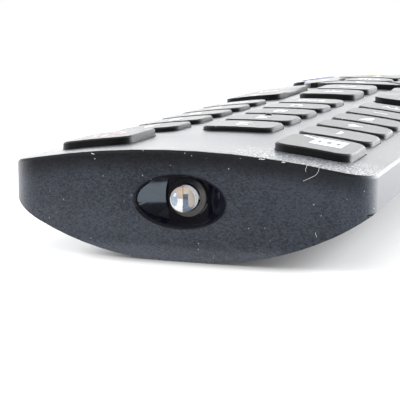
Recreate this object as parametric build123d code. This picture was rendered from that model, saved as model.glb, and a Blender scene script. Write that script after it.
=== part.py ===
from build123d import *
from math import asin, cos, pi, sin, sqrt, tan
import os

# All lengths are in millimetres. X is the width, Y runs from the infrared end to the tail,
# Z is up. The origin is the middle of the length and width, on the surface underneath.

# Body
body_width = 47.0
body_depth = 13.75
crown_radius = 113.0
side_height = 4.45
rest_flat_width = 3.4
corner_radius = 4.5
edge_bevel = 0.3
shell_wall = 1.4
belly_wall = 1.3
front_wall = 2.0
tail_wall = 1.6
seam_gap = 0.2
lap_wall = 0.55
lap_height = 1.2
lap_clearance = 0.1
overrun = 1.0

# Infrared window in the front wall
window_width = 11.7
window_height = 6.55
window_drop = 6.28
window_fit = 0.08
window_sink = 0.3
window_edge_bevel = 0.2
window_dish_depth = 3.0
window_rim = 0.1
window_floor_width = 5.2
wing_section_shares = (0.98, 0.85, 0.65)
window_thickness = 4.1
lamp_diameter = 3.2
lamp_hole_clearance = 0.12
lamp_collar_diameter = 5.1
lamp_collar_height = 0.5
lamp_collar_edge = 0.12
lamp_flange_diameter = 3.9
lamp_flange_thickness = 1.0
lamp_dome_setback = 1.2
lamp_rise = 0.12
lamp_lead_pitch = 2.54
lamp_lead_width = 0.45
lamp_lead_run = 4.5
anvil_start = 2.7
anvil_length = 0.8
anvil_diameter = 1.1
anvil_offset = 0.3
anvil_cup_diameter = 0.8
anvil_cup_floor = 0.45
anvil_cup_depth = 0.35
anvil_neck = 0.6
lamp_post_start = 3.0
lamp_post_reach = 0.55

# Keys
column_gap = 3.55
key_side_margin = 4.5
key_length = 8.4
key_corner = 2.2
first_step_share = 2 - sqrt(2)
second_step_share = tan(pi / 8) - tan(pi / 16)
key_rise = 0.65
first_row_start = 22.75
row_pitch = 10.1
row_count = 5
head_key_side_margin = 4.05
head_key_inset = 0.4
head_key_length = 11.7
head_key_start = 7.0
tall_key_rise = 1.0
key_edge_bevel = 0.2
key_stem_spare = 2.0
key_clearance = 0.15
key_travel = 0.6
flange_width = 0.35
flange_gap = 0.15
flange_thickness = 0.7
key_stop_gap = 0.05

# Rockers and the keys between them
rocker_lead = 4.75
rocker_length = 24.0
rocker_dip = 1.2
rocker_clearance = 0.3
rocker_flange_length = 8.0
rocker_flange_gap = 0.4
rocker_fulcrum_radius = 0.6
middle_key_gap = 2.0

# Direction pad, its corner keys and the colour keys
pad_lead = 2.4
pad_side_margin = 10.0
pad_ring_width = 7.1
pad_gap = 1.2
ok_key_gap = 1.3
pad_corner_bevel = 0.8
corner_key_diameter = 6.4
corner_key_gap = 2.494
colour_key_lead = 2.6
colour_key_gap = 3.2
colour_key_side_margin = 4.3
colour_key_length = 5.4
colour_key_corner = 1.8
colour_key_count = 4

# Keypad mat and circuit board
mat_thickness = 1.0
mat_pocket = 4.0
mat_pocket_depth = 0.5
rocker_pocket_shares = (0.2, 0.8)
board_thickness = 1.2
board_side_margin = 3.2
board_start = 6.5
board_tail_room = 2.7
board_corner = 3.0
board_margin = 0.3
post_radius = 1.9
pin_radius = 0.9
pin_clearance = 0.15
rib_thickness = 1.0

# Electronic components under the board
chip_length = 18.0
chip_width = 7.6
chip_height = 2.3
chip_station = 50.0
chip_foot_width = 0.45
chip_foot_pitch = 1.27
chip_foot_reach = 1.2
chip_foot_count = 14
capacitor_floor_gap = 0.56
capacitor_length = 11.0
capacitor_lead = 14.0
capacitor_offset = 4.0
resonator_length = 7.5
resonator_width = 3.2
resonator_height = 3.6
resonator_gap = 1.2

# Battery bay, cells and contacts
cell_diameter = 10.2
cell_body_length = 43.5
cell_nub_diameter = 3.8
cell_nub_length = 1.0
cell_pitch = 10.8
cell_end_bevel = 0.4
spring_length = 4.5
spring_wire = 0.5
spring_tip_diameter = 4.0
spring_base_diameter = 7.0
spring_turns = 4
spring_steps_per_turn = 12
contact_thickness = 0.4
contact_width = 8.0
contact_height = 7.0
contact_tab_width = 2.0
bay_wall = 1.2
bay_lead = 7.0
bay_side_clearance = 0.8
bay_side_wall = 1.0

# Battery cover and its rails
cover_lead = 3.6
cover_end_room = 1.4
cover_half_width = 13.5
cover_skin = 1.4
cover_gap = 0.15
cover_tongue_overlap = 0.8
cover_tongue_reach = 1.7
cover_tongue_thickness = 0.8
cover_tongue_lead = 8.8
cover_tongue_end_room = 6.0
cover_ceiling_gap = 0.3
grip_count = 6
grip_pitch = 2.0
grip_width = 0.8
grip_depth = 0.4
grip_length = 15.0
grip_lead = 4.8
shelf_thickness = 1.4
floor_thickness = 1.2
floor_step = 1.4

# Screws under the cover
screw_offset = 8.5
screw_lead = 3.3
screw_shank_diameter = 2.0
screw_head_diameter = 3.8
screw_head_height = 1.2
screw_length = 6.5
screw_boss_diameter = 4.6
screw_clearance = 0.15
screw_fit = 0.05
screw_cup_wall = 1.0
screw_slot_width = 0.7
screw_slot_depth = 0.5
screw_slot_length = 2.5

# Sizes that follow from the ones above
rest_half_width = rest_flat_width / 2
half_width = body_width / 2
key_width = (body_width - 2 * key_side_margin - 2 * column_gap) / 3
column_pitch = key_width + column_gap
head_key_width = key_width - head_key_inset
head_key_offset = half_width - head_key_side_margin - head_key_width / 2
rocker_start = first_row_start + row_count * row_pitch + rocker_lead
pad_diameter = body_width - 2 * pad_side_margin
pad_hole_diameter = pad_diameter - 2 * pad_ring_width
ok_key_diameter = pad_hole_diameter - 2 * ok_key_gap
corner_key_radius = (pad_diameter + corner_key_diameter) / 2 + corner_key_gap
corner_key_offset_x = half_width - key_side_margin - corner_key_diameter / 2
corner_key_offset_y = sqrt(corner_key_radius**2 - corner_key_offset_x**2)
pad_reach = max(pad_diameter, 2 * corner_key_offset_y + corner_key_diameter) / 2
pad_station = rocker_start + rocker_length + pad_lead + pad_reach
colour_key_start = pad_station + pad_reach + colour_key_lead
colour_key_room = body_width - 2 * colour_key_side_margin + colour_key_gap
colour_key_pitch = colour_key_room / colour_key_count
colour_key_width = colour_key_pitch - colour_key_gap
colour_key_end = colour_key_start + colour_key_length
cover_start = colour_key_end + cover_lead
bay_start = cover_start + bay_lead
contact_start = bay_start + contact_thickness
contact_end = contact_start + cell_body_length + cell_nub_length + spring_length
body_length = contact_end + contact_thickness + bay_side_wall + cover_end_room + tail_wall
cover_tongue_start = cover_start + cover_tongue_lead
cover_tongue_end = body_length - cover_tongue_end_room
grip_start = cover_start + grip_lead
screw_station = cover_start + screw_lead
board_width = body_width - 2 * board_side_margin
mat_width = board_width - 2 * board_margin
board_end = colour_key_end + board_tail_room
capacitor_station = rocker_start + capacitor_lead
shoulder_height = body_depth - crown_radius + sqrt(crown_radius**2 - half_width**2)
parting_height = shoulder_height - side_height
belly_run = half_width - rest_half_width
belly_radius = (belly_run**2 + parting_height**2) / (2 * parting_height)


def station(distance):
    """Place along Y of a point this far behind the infrared end."""
    return distance - body_length / 2


def belly_height(x, inset):
    """Height of a surface parallel to the belly, this far across the body."""
    reach = max(abs(x) - rest_half_width, 0)
    return belly_radius - sqrt((belly_radius - inset) ** 2 - reach**2)


outer_key_edge = column_pitch + key_width / 2 + key_clearance + flange_width
ceiling_radius = crown_radius - shell_wall
ceiling_at_edge = body_depth - crown_radius + sqrt(ceiling_radius**2 - outer_key_edge**2)
key_base_height = ceiling_at_edge - flange_gap - flange_thickness
mat_top = key_base_height - key_travel - key_stop_gap
mat_base = mat_top - mat_thickness
board_base = mat_base - board_thickness
capacitor_room = board_base - belly_height(capacitor_offset, belly_wall)
capacitor_diameter = capacitor_room - capacitor_floor_gap
window_centre = body_depth - window_drop
dish_half_width = window_width / 2 - window_rim
lamp_centre = window_centre + lamp_rise
lamp_flange_end = window_thickness + lamp_flange_thickness
post_stations = (
    (head_key_start + head_key_length + first_row_start) / 2,
    (first_row_start + (row_count - 1) * row_pitch + key_length + rocker_start) / 2,
    (pad_station + pad_diameter / 2 + colour_key_start) / 2,
)
post_offset = column_pitch / 2
bay_inset = cover_skin + cover_ceiling_gap
cell_axis_offset = cell_pitch / 2
cell_axis_height = belly_radius - sqrt(
    (belly_radius - cover_skin - cover_ceiling_gap / 2 - cell_diameter / 2) ** 2
    - (cell_axis_offset - rest_half_width) ** 2
)
bay_half_width = cell_axis_offset + cell_diameter / 2 + bay_side_clearance
tongue_outer = cover_half_width + cover_tongue_reach
tongue_inset = cover_skin + cover_tongue_thickness
shelf_base = belly_height(tongue_outer, tongue_inset) + cover_gap
screw_head_radius = screw_head_diameter / 2
screw_seat = belly_height(screw_offset + screw_head_radius, bay_inset) + screw_head_height
boss_base = screw_seat + floor_thickness


def body_profile(inset):
    """Cross-section of the body: crowned top, upright sides and a round belly with a flat."""
    side = half_width - inset
    crown = crown_radius - inset
    belly = belly_radius - inset
    shoulder = body_depth - crown_radius + sqrt(crown**2 - side**2)
    sweep_angle = asin((side - rest_half_width) / belly)
    middle = (
        rest_half_width + belly * sin(sweep_angle / 2),
        belly_radius - belly * cos(sweep_angle / 2),
    )
    chine = (side, belly_radius - belly * cos(sweep_angle))
    outline = [
        Line((-rest_half_width, inset), (rest_half_width, inset)),
        ThreePointArc((rest_half_width, inset), middle, chine),
        Line(chine, (side, shoulder)),
        ThreePointArc((side, shoulder), (0, body_depth - inset), (-side, shoulder)),
        Line((-side, shoulder), (-side, chine[1])),
        ThreePointArc((-side, chine[1]), (-middle[0], middle[1]), (-rest_half_width, inset)),
    ]
    return make_face(outline)


def along_body(face, start, end):
    """Extrude a cross-section from one station to another."""
    plane = Plane.XZ.offset(-station(end))
    return extrude(plane * face, amount=end - start)


def slab(x_from, x_to, start, end, z_from, z_to):
    """Rectangular block between two stations."""
    size = (x_to - x_from, end - start, z_to - z_from)
    middle = ((x_from + x_to) / 2, station((start + end) / 2), (z_from + z_to) / 2)
    return Pos(*middle) * Box(*size)


def plan_block(inset, start, end):
    """Upright block whose rounded outline is the body's plan, inset at the sides."""
    length = end - start
    outline = RectangleRounded(body_width - 2 * inset, length, corner_radius - inset)
    return Pos(0, station((start + end) / 2), 0) * extrude(outline, amount=body_depth)


def under_crown(radius_change):
    """Everything below a surface that runs parallel to the crown."""
    radius = crown_radius + radius_change
    centre = body_depth - crown_radius
    edge = centre + sqrt(radius**2 - half_width**2)
    outline = [
        ThreePointArc((half_width, edge), (0, centre + radius), (-half_width, edge)),
        Line((-half_width, edge), (-half_width, 0)),
        Line((-half_width, 0), (half_width, 0)),
        Line((half_width, 0), (half_width, edge)),
    ]
    return along_body(make_face(outline), 0, body_length)


def upright(outline, z_from, z_to):
    """Extrude a plan outline between two heights."""
    return extrude(Pos(0, 0, z_from) * outline, amount=z_to - z_from)


key_top_limits = {rise: under_crown(rise) for rise in (key_rise, tall_key_rise)}
flange_limit = under_crown(-shell_wall - flange_gap)
body_block = along_body(body_profile(0), 0, body_length) & plan_block(0, 0, body_length)
crown_edges = body_block.edges().filter_by(lambda edge: edge.bounding_box().min.Z > parting_height)
body_block = chamfer(crown_edges, edge_bevel)


def stepped_corners(outline, radius):
    """Round the corners of an outline in three straight steps that touch the full arc."""
    outline = chamfer(outline.vertices(), radius * first_step_share)
    return chamfer(outline.vertices(), radius * second_step_share)


def key_outline(x, start, width, length, corner=key_corner):
    """Rectangle with round corners for a key whose front edge is at the given station."""
    return Pos(x, station(start + length / 2)) * stepped_corners(Rectangle(width, length), corner)


def round_outline(x, middle_station, diameter):
    return Pos(x, station(middle_station)) * Circle(diameter / 2)


def pad_outline(turn):
    """Quarter of the direction pad's ring, turned to face one direction."""
    ring = Circle(pad_diameter / 2) - Circle(pad_hole_diameter / 2)
    reach = pad_diameter
    wedge = make_face(Polyline((0, 0), (reach, reach), (-reach, reach), close=True))
    quarter = ring & (Pos(0, pad_gap / sqrt(2)) * wedge)
    quarter = chamfer(quarter.vertices(), pad_corner_bevel)
    return Pos(0, station(pad_station)) * Rot(0, 0, turn) * quarter


def flange_outline(outline):
    """Square-cornered round a straight-sided key, and parallel to the edge of any other."""
    if any(edge.geom_type != GeomType.LINE for edge in outline.edges()):
        return offset(outline, flange_width + key_clearance, kind=Kind.INTERSECTION)
    box = outline.bounding_box()
    spread = 2 * (flange_width + key_clearance)
    return Pos(box.center().X, box.center().Y) * Rectangle(box.size.X + spread, box.size.Y + spread)


def make_key(outline, rise):
    """Key cap with a flange below the shell and a bevelled upper edge."""
    stem = upright(outline, key_base_height, body_depth + key_stem_spare) & key_top_limits[rise]
    stem = chamfer(stem.faces().sort_by(Axis.Z)[-1].edges(), key_edge_bevel)
    return stem + (upright(flange_outline(outline), key_base_height, body_depth) & flange_limit)


def make_rocker(outline, x):
    """Long key, dished along its length, that tips on a half-round fulcrum."""
    middle = station(rocker_start + rocker_length / 2)
    stem = upright(outline, key_base_height, body_depth + key_stem_spare) & key_top_limits[tall_key_rise]
    dish_radius = (rocker_length / 2) ** 2 / (2 * rocker_dip)
    dish_height = body_depth + tall_key_rise - rocker_dip / 2 + dish_radius
    dish = Pos(x, middle, dish_height) * Rot(0, 90, 0) * Cylinder(dish_radius, body_width)
    stem = stem - dish
    top = stem.faces().filter_by(GeomType.PLANE, reverse=True).sort_by(Axis.Z)[-1]
    stem = chamfer(top.edges(), key_edge_bevel)
    ears_width = key_width + 2 * (flange_width + rocker_clearance)
    ears = slab(x - ears_width / 2, x + ears_width / 2,
                rocker_start + (rocker_length - rocker_flange_length) / 2,
                rocker_start + (rocker_length + rocker_flange_length) / 2,
                key_base_height, body_depth)
    ears = ears & under_crown(-shell_wall - rocker_flange_gap)
    fulcrum = Pos(x, middle, key_base_height) * Rot(0, 90, 0)
    fulcrum = fulcrum * Cylinder(rocker_fulcrum_radius, key_width)
    return stem + ears + fulcrum


# The user holds the tail, so the user's left is +X.
row_names = (
    ("key_one", "key_two", "key_three"),
    ("key_four", "key_five", "key_six"),
    ("key_seven", "key_eight", "key_nine"),
    ("key_dash", "key_zero", "key_enter"),
    ("key_tv", "key_box", "key_aux"),
)
plain_keys = {}
for side_sign, name in ((-1, "key_power"), (1, "key_input")):
    outline = key_outline(side_sign * head_key_offset, head_key_start, head_key_width, head_key_length)
    plain_keys[name] = (outline, tall_key_rise)
for row, names in enumerate(row_names):
    for column, name in zip((1, 0, -1), names):
        start = first_row_start + row * row_pitch
        plain_keys[name] = (key_outline(column * column_pitch, start, key_width, key_length), key_rise)
middle_key_length = (rocker_length - middle_key_gap) / 2
for place, name in enumerate(("key_mute", "key_last")):
    start = rocker_start + place * (middle_key_length + middle_key_gap)
    plain_keys[name] = (key_outline(0, start, key_width, middle_key_length), tall_key_rise)
plain_keys["key_ok"] = (round_outline(0, pad_station, ok_key_diameter), tall_key_rise)
for turn, name in ((180, "key_up"), (0, "key_down"), (90, "key_right"), (-90, "key_left")):
    plain_keys[name] = (pad_outline(turn), tall_key_rise)
corner_names = ("key_menu", "key_guide", "key_back", "key_info")
for place, name in enumerate(corner_names):
    x = corner_key_offset_x * (-1 if place % 2 else 1)
    at = pad_station + corner_key_offset_y * (1 if place > 1 else -1)
    plain_keys[name] = (round_outline(x, at, corner_key_diameter), key_rise)
for place, name in enumerate(("key_red", "key_green", "key_yellow", "key_blue")):
    x = ((colour_key_count - 1) / 2 - place) * colour_key_pitch
    outline = key_outline(x, colour_key_start, colour_key_width, colour_key_length, colour_key_corner)
    plain_keys[name] = (outline, key_rise)

rockers = {
    name: (key_outline(x, rocker_start, key_width, rocker_length), x)
    for x, name in ((column_pitch, "volume_rocker"), (-column_pitch, "channel_rocker"))
}
post_places = [(side * post_offset, at) for at in post_stations for side in (-1, 1)]
screw_places = [(side * screw_offset, screw_station) for side in (-1, 1)]


def upright_cylinder(x, at, radius, z_from, z_to):
    return upright(round_outline(x, at, 2 * radius), z_from, z_to)


def window_oval(width, height, start, end):
    """Oval prism through the front wall."""
    return along_body(Pos(0, window_centre) * Ellipse(width / 2, height / 2), start, end)


def lamp_round(diameter, start, end):
    """Round bar along the lamp's axis."""
    return along_body(Pos(0, lamp_centre) * Circle(diameter / 2), start, end)


def make_upper_shell():
    """Top, upright sides and the whole front wall, with the key openings."""
    top_part = slab(-half_width, half_width, 0, body_length, parting_height, body_depth)
    front_part = slab(-half_width, half_width, 0, front_wall, 0, body_depth)
    shell = body_block & (top_part + front_part)
    hollow = along_body(body_profile(shell_wall), front_wall, body_length - tail_wall)
    shell = shell - (hollow & plan_block(shell_wall, front_wall, body_length - tail_wall))
    rebate = plan_block(shell_wall - lap_wall - lap_clearance, front_wall, body_length - tail_wall / 2)
    rebate_height = parting_height + lap_height + lap_clearance
    shell = shell - (rebate & slab(-half_width, half_width, front_wall, body_length, 0, rebate_height))
    for outline, _ in plain_keys.values():
        opening = offset(outline, key_clearance, kind=Kind.INTERSECTION)
        shell = shell - upright(opening, key_base_height, body_depth + overrun)
    for outline, _ in rockers.values():
        opening = offset(outline, rocker_clearance, kind=Kind.INTERSECTION)
        shell = shell - upright(opening, key_base_height, body_depth + overrun)
    rib_half = mat_width / 2 - board_margin
    for at in post_stations:
        rib = slab(-rib_half, rib_half, at - rib_thickness / 2, at + rib_thickness / 2, mat_top, body_depth)
        shell = shell + (rib & under_crown(-shell_wall / 2))
    for x, at in screw_places:
        boss = upright_cylinder(x, at, screw_boss_diameter / 2, boss_base, body_depth)
        shell = shell + (boss & under_crown(-shell_wall / 2))
        bore_top = screw_seat + screw_length + screw_clearance
        shell = shell - upright_cylinder(x, at, screw_shank_diameter / 2, 0, bore_top)
    shell = shell - window_oval(window_width, window_height, -overrun, front_wall + overrun)
    front_face = shell.faces().sort_by(Axis.Y)[0]
    return chamfer(front_face.inner_wires().edges(), window_edge_bevel)


def make_lower_shell():
    """Belly with the lap rim, board posts, battery bay and rails for the cover."""
    top = parting_height - seam_gap
    start = front_wall + seam_gap
    shell = body_block & slab(-half_width, half_width, start, body_length, 0, top)
    hollow = along_body(body_profile(belly_wall), start - overrun, body_length - tail_wall)
    shell = shell - (hollow & plan_block(belly_wall, start - overrun, body_length - tail_wall))
    rim_end = body_length - tail_wall / 2 - lap_clearance
    rim = plan_block(shell_wall - lap_wall, start, rim_end)
    rim = rim - plan_block(shell_wall, start - corner_radius, rim_end - lap_wall)
    rim_base = parting_height - lap_height
    rim = rim & slab(-half_width, half_width, start + corner_radius, body_length, rim_base,
                     parting_height + lap_height)
    shell = shell + (rim & along_body(body_profile(belly_wall / 2), 0, body_length))
    for x, at in post_places:
        post = upright_cylinder(x, at, post_radius, 0, board_base)
        post = post + upright_cylinder(x, at, pin_radius, 0, mat_top - key_stop_gap)
        shell = shell + (post & along_body(body_profile(belly_wall / 2), 0, body_length))
    inside_bay = along_body(body_profile(bay_inset), 0, body_length)
    floor_start = cover_start - cover_gap
    step_half = cover_half_width + cover_tongue_reach + floor_step
    floor = along_body(body_profile(belly_wall / 2) - body_profile(bay_inset + floor_thickness),
                       floor_start - floor_step, bay_start)
    floor = floor & slab(-step_half, step_half, 0, body_length, 0, parting_height)
    shell = shell + floor
    opening_half = cover_half_width + cover_gap
    opening = slab(-opening_half, opening_half, floor_start, body_length + overrun, -overrun,
                   parting_height + lap_height)
    shell = shell - (opening - inside_bay)
    bay_end = contact_end + contact_thickness
    for side in (-1, 1):
        near, far = sorted((side * bay_half_width, side * (bay_half_width + bay_side_wall)))
        wall = slab(near, far, bay_start - bay_wall, bay_end + bay_side_wall, 0, body_depth)
        near, far = sorted((side * bay_half_width, side * half_width))
        shelf = slab(near, far, floor_start, body_length - tail_wall / 2, shelf_base,
                     shelf_base + shelf_thickness)
        shell = shell + (wall & inside_bay)
        shell = shell + (shelf & along_body(body_profile(belly_wall / 2), 0, body_length)
                         & plan_block(belly_wall / 2, 0, body_length - belly_wall / 2))
    rear_cut = body_length - tail_wall - cover_gap
    rear_half = tongue_outer + cover_gap
    shell = shell - slab(-rear_half, rear_half, rear_cut, body_length + overrun, 0, body_depth)
    half = bay_half_width + bay_side_wall
    for wall_start, wall_end in ((bay_start - bay_wall, bay_start), (bay_end, bay_end + bay_side_wall)):
        shell = shell + (slab(-half, half, wall_start, wall_end, 0, body_depth) & inside_bay)
    head_bore = screw_head_radius + screw_clearance
    for x, at in screw_places:
        cup = upright_cylinder(x, at, head_bore + screw_cup_wall, 0, boss_base)
        shell = shell + (cup & inside_bay)
        shell = shell - upright_cylinder(x, at, head_bore, 0, screw_seat)
        shell = shell - upright_cylinder(x, at, screw_shank_diameter / 2 + screw_clearance, 0, boss_base)
    for x in contact_tab_places():
        slot_half = contact_tab_width / 2 + pin_clearance
        shell = shell - slab(x - slot_half, x + slot_half, bay_start - bay_wall - overrun,
                             bay_start + overrun, board_base - contact_thickness - pin_clearance,
                             board_base + pin_clearance)
    return shell


def contact_tab_places():
    return (-cell_axis_offset / 2, cell_axis_offset / 2)


def make_battery_cover():
    """Sliding cover: a strip of the belly with its own end wall, side tongues and grip grooves."""
    start = cover_start
    skin = body_block & slab(-cover_half_width, cover_half_width, start, body_length, 0,
                             parting_height - seam_gap)
    hollow = along_body(body_profile(cover_skin), start - overrun, body_length - tail_wall)
    end_wall = body_block & slab(-tongue_outer, tongue_outer, body_length - tail_wall, body_length, 0,
                                 parting_height - seam_gap)
    cover = skin - hollow + end_wall
    for side in (-1, 1):
        near, far = sorted((side * (cover_half_width - cover_tongue_overlap), side * tongue_outer))
        band = slab(near, far, cover_tongue_start, cover_tongue_end, 0, parting_height)
        band = band & along_body(body_profile(cover_skin) - body_profile(tongue_inset), 0, body_length)
        cover = cover + band
    for place in range(grip_count):
        at = grip_start + place * grip_pitch
        groove = slab(-grip_length / 2, grip_length / 2, at, at + grip_width, -overrun, parting_height)
        cover = cover - (groove - along_body(body_profile(grip_depth), 0, body_length))
    return cover


def dish_section(x, depth):
    """Oval across the window's dish, this far to the side of the lamp."""
    half_height = window_height / 2 - window_rim
    half_height = half_height * sqrt(1 - (x / dish_half_width) ** 2)
    plane = Plane(origin=(x, station(window_sink), window_centre), x_dir=(0, 1, 0), z_dir=(1, 0, 0))
    return plane * Ellipse(depth, half_height)


def make_dish():
    """Scoop with a ramp in from each end of the oval and a level floor round the lamp."""
    floor_edge = window_floor_width / 2
    floor_places = (-floor_edge, 0, floor_edge)
    dish = loft([dish_section(x, window_dish_depth) for x in floor_places])
    for side in (-1, 1):
        places = [share * dish_half_width for share in wing_section_shares] + [floor_edge]
        depths = [window_dish_depth * (dish_half_width - x) / (dish_half_width - floor_edge) for x in places]
        dish = dish + loft([dish_section(side * x, depth) for x, depth in zip(places, depths)])
    return dish


def make_window():
    """Glossy oval surround, dished to the lamp that stands in its middle."""
    body = window_oval(window_width - 2 * window_fit, window_height - 2 * window_fit,
                       window_sink, window_thickness)
    collar_start = window_sink + window_dish_depth - lamp_collar_height
    collar = lamp_round(lamp_collar_diameter, collar_start, window_thickness)
    collar = chamfer(collar.edges().sort_by(Axis.Y)[0], lamp_collar_edge)
    hole = lamp_round(lamp_diameter + 2 * lamp_hole_clearance, 0, window_thickness + overrun)
    return body - make_dish() + collar - hole


def make_lead(x, start):
    """Square wire from inside the lamp, dropped behind the flange to the board's underside."""
    half = lamp_lead_width / 2
    drop_end = lamp_flange_end + 2 * lamp_lead_width
    drop_start = drop_end - lamp_lead_width
    left, right = x - half, x + half
    lead = slab(left, right, start, drop_end, lamp_centre - half, lamp_centre + half)
    drop = slab(left, right, drop_start, drop_end, board_base - lamp_lead_width, lamp_centre + half)
    foot = slab(left, right, drop_start, board_start + lamp_lead_run, board_base - lamp_lead_width,
                board_base)
    return lead + drop + foot


def make_lamp_leads():
    """The two leads: one ends in the cupped anvil, the other in a bent post beside it."""
    half = lamp_lead_width / 2
    lead_x = lamp_lead_pitch / 2
    anvil_end = anvil_start + anvil_length
    anvil = Pos(-anvil_offset, 0, 0) * lamp_round(anvil_diameter, anvil_start, anvil_end)
    cup = Cone(anvil_cup_floor / 2, anvil_cup_diameter / 2, anvil_cup_depth)
    cup_middle = station(anvil_start + anvil_cup_depth / 2)
    anvil = anvil - Pos(-anvil_offset, cup_middle, lamp_centre) * Rot(90, 0, 0) * cup
    neck = slab(-lead_x - half, -anvil_offset + half, anvil_end - anvil_neck / 2, anvil_end + anvil_neck,
                lamp_centre - half, lamp_centre + half)
    post = slab(lead_x - lamp_post_reach, lead_x + half, lamp_post_start,
                lamp_post_start + lamp_lead_width, lamp_centre - half, lamp_centre + half)
    return Compound([make_lead(-lead_x, anvil_end) + neck + anvil, make_lead(lead_x, lamp_post_start) + post])


def make_lamp(leads):
    """Round-nosed clear lamp with its flange, cast round the leads."""
    lamp = lamp_round(lamp_diameter, lamp_dome_setback, lamp_flange_end)
    lamp = lamp + Pos(0, station(lamp_dome_setback), lamp_centre) * Sphere(lamp_diameter / 2)
    lamp = lamp + lamp_round(lamp_flange_diameter, window_thickness, lamp_flange_end)
    for lead in leads.solids():
        lamp = lamp - lead
    return lamp


def flat_plate(width, start, end, corner, z_from, z_to):
    outline = Pos(0, station((start + end) / 2)) * RectangleRounded(width, end - start, corner)
    return upright(outline, z_from, z_to)


def make_mat():
    """Rubber mat over the board, with an air pocket under every key."""
    mat = flat_plate(mat_width, board_start + board_margin, board_end - board_margin,
                     board_corner, mat_base, mat_top)
    for x, at in post_places:
        mat = mat - upright_cylinder(x, at, pin_radius + pin_clearance, mat_base, mat_top)
    for outline, _ in plain_keys.values():
        centre = outline.bounding_box().center()
        pocket = Pos(centre.X, centre.Y, mat_base + mat_pocket_depth / 2)
        mat = mat - pocket * Box(mat_pocket, mat_pocket, mat_pocket_depth)
    for _, x in rockers.values():
        for share in rocker_pocket_shares:
            at = rocker_start + rocker_length * share
            mat = mat - slab(x - mat_pocket / 2, x + mat_pocket / 2, at - mat_pocket / 2,
                             at + mat_pocket / 2, mat_base, mat_base + mat_pocket_depth)
    return mat


def make_board():
    board = flat_plate(board_width, board_start, board_end, board_corner, board_base, mat_base)
    for x, at in post_places:
        board = board - upright_cylinder(x, at, pin_radius + pin_clearance, board_base, mat_base)
    return board


def make_chip():
    """Controller package with a row of feet along each long side."""
    base = board_base - chip_height
    half = chip_width / 2
    chip = slab(-half, half, chip_station, chip_station + chip_length, base,
                board_base - chip_foot_width / 2)
    first = chip_station + chip_length / 2 - (chip_foot_count - 1) / 2 * chip_foot_pitch
    for place in range(chip_foot_count):
        at = first + place * chip_foot_pitch
        chip = chip + slab(-half - chip_foot_reach, half + chip_foot_reach, at - chip_foot_width / 2,
                           at + chip_foot_width / 2, board_base - chip_foot_width, board_base)
    return chip


def make_capacitor():
    radius = capacitor_diameter / 2
    can = Pos(capacitor_offset, 0, board_base - radius) * Rot(90, 0, 0)
    can = can * Cylinder(radius, capacitor_length)
    can = chamfer(can.edges().filter_by(GeomType.CIRCLE), edge_bevel)
    return Pos(0, station(capacitor_station), 0) * can


def make_resonator():
    half = resonator_width / 2
    start = chip_station + chip_length + resonator_gap
    body = slab(-half, half, start, start + resonator_length, board_base - resonator_height, board_base)
    return chamfer(body.edges().filter_by(Axis.Z), edge_bevel)


def make_cell(side):
    """Cylindrical cell: the right one points at the tail, the left one at the front."""
    forward = side < 0
    body_start = contact_start + (cell_nub_length if forward else spring_length)
    nub_start = contact_start if forward else body_start + cell_body_length
    axis = Pos(side * cell_axis_offset, cell_axis_height)
    body = along_body(axis * Circle(cell_diameter / 2), body_start, body_start + cell_body_length)
    body = chamfer(body.edges().filter_by(GeomType.CIRCLE), cell_end_bevel)
    nub = along_body(axis * Circle(cell_nub_diameter / 2), nub_start, nub_start + cell_nub_length)
    return body + nub


def make_spring(side):
    """Cone spring that presses on the flat end of a cell, as one six-sided wire."""
    coil_height = spring_length - spring_wire
    steps = spring_turns * spring_steps_per_turn
    points = []
    for step in range(steps + 1):
        share = step / steps
        radius = (spring_base_diameter + (spring_tip_diameter - spring_base_diameter) * share) / 2
        angle = 2 * pi * spring_turns * share
        points.append((radius * cos(angle), radius * sin(angle), coil_height * share))
    path = Polyline(*points)
    section = Plane(path @ 0, z_dir=path % 0) * RegularPolygon(spring_wire / 2, 6)
    coil = sweep(section, path, transition=Transition.RIGHT)
    at_front = side > 0
    turn = Rot(-90, 0, 0) if at_front else Rot(90, 0, 0)
    seat = contact_start + spring_wire / 2 if at_front else contact_end - spring_wire / 2
    return Pos(side * cell_axis_offset, station(seat), cell_axis_height) * turn * coil


def contact_plate(x, width, start):
    z_middle = cell_axis_height
    return slab(x - width / 2, x + width / 2, start, start + contact_thickness,
                z_middle - contact_height / 2, z_middle + contact_height / 2)


def make_front_contact(side):
    """Contact plate with the tab that carries the current forward to the board."""
    plate = contact_plate(side * cell_axis_offset, contact_width, bay_start)
    x = side * cell_axis_offset / 2
    half = contact_tab_width / 2
    tab = slab(x - half, x + half, board_end - board_corner, contact_start,
               board_base - contact_thickness, board_base)
    return plate + tab


def make_tail_contact():
    return contact_plate(0, cell_pitch + contact_width, contact_end)


def make_screws():
    """Pan-headed screws that hold the two shells together."""
    screws = []
    shank_radius = screw_shank_diameter / 2 - screw_fit
    head_base = screw_seat - screw_head_height
    for x, at in screw_places:
        head = upright_cylinder(x, at, screw_head_radius, head_base, screw_seat)
        head = chamfer(head.edges().sort_by(Axis.Z)[0], edge_bevel)
        shank = upright_cylinder(x, at, shank_radius, screw_seat, screw_seat + screw_length)
        for turn in (0, 90):
            slot = Rot(0, 0, turn) * Box(screw_slot_length, screw_slot_width, 2 * screw_slot_depth)
            head = head - Pos(x, station(at), head_base) * slot
        screws.append(head + shank)
    return Compound(screws)


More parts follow.
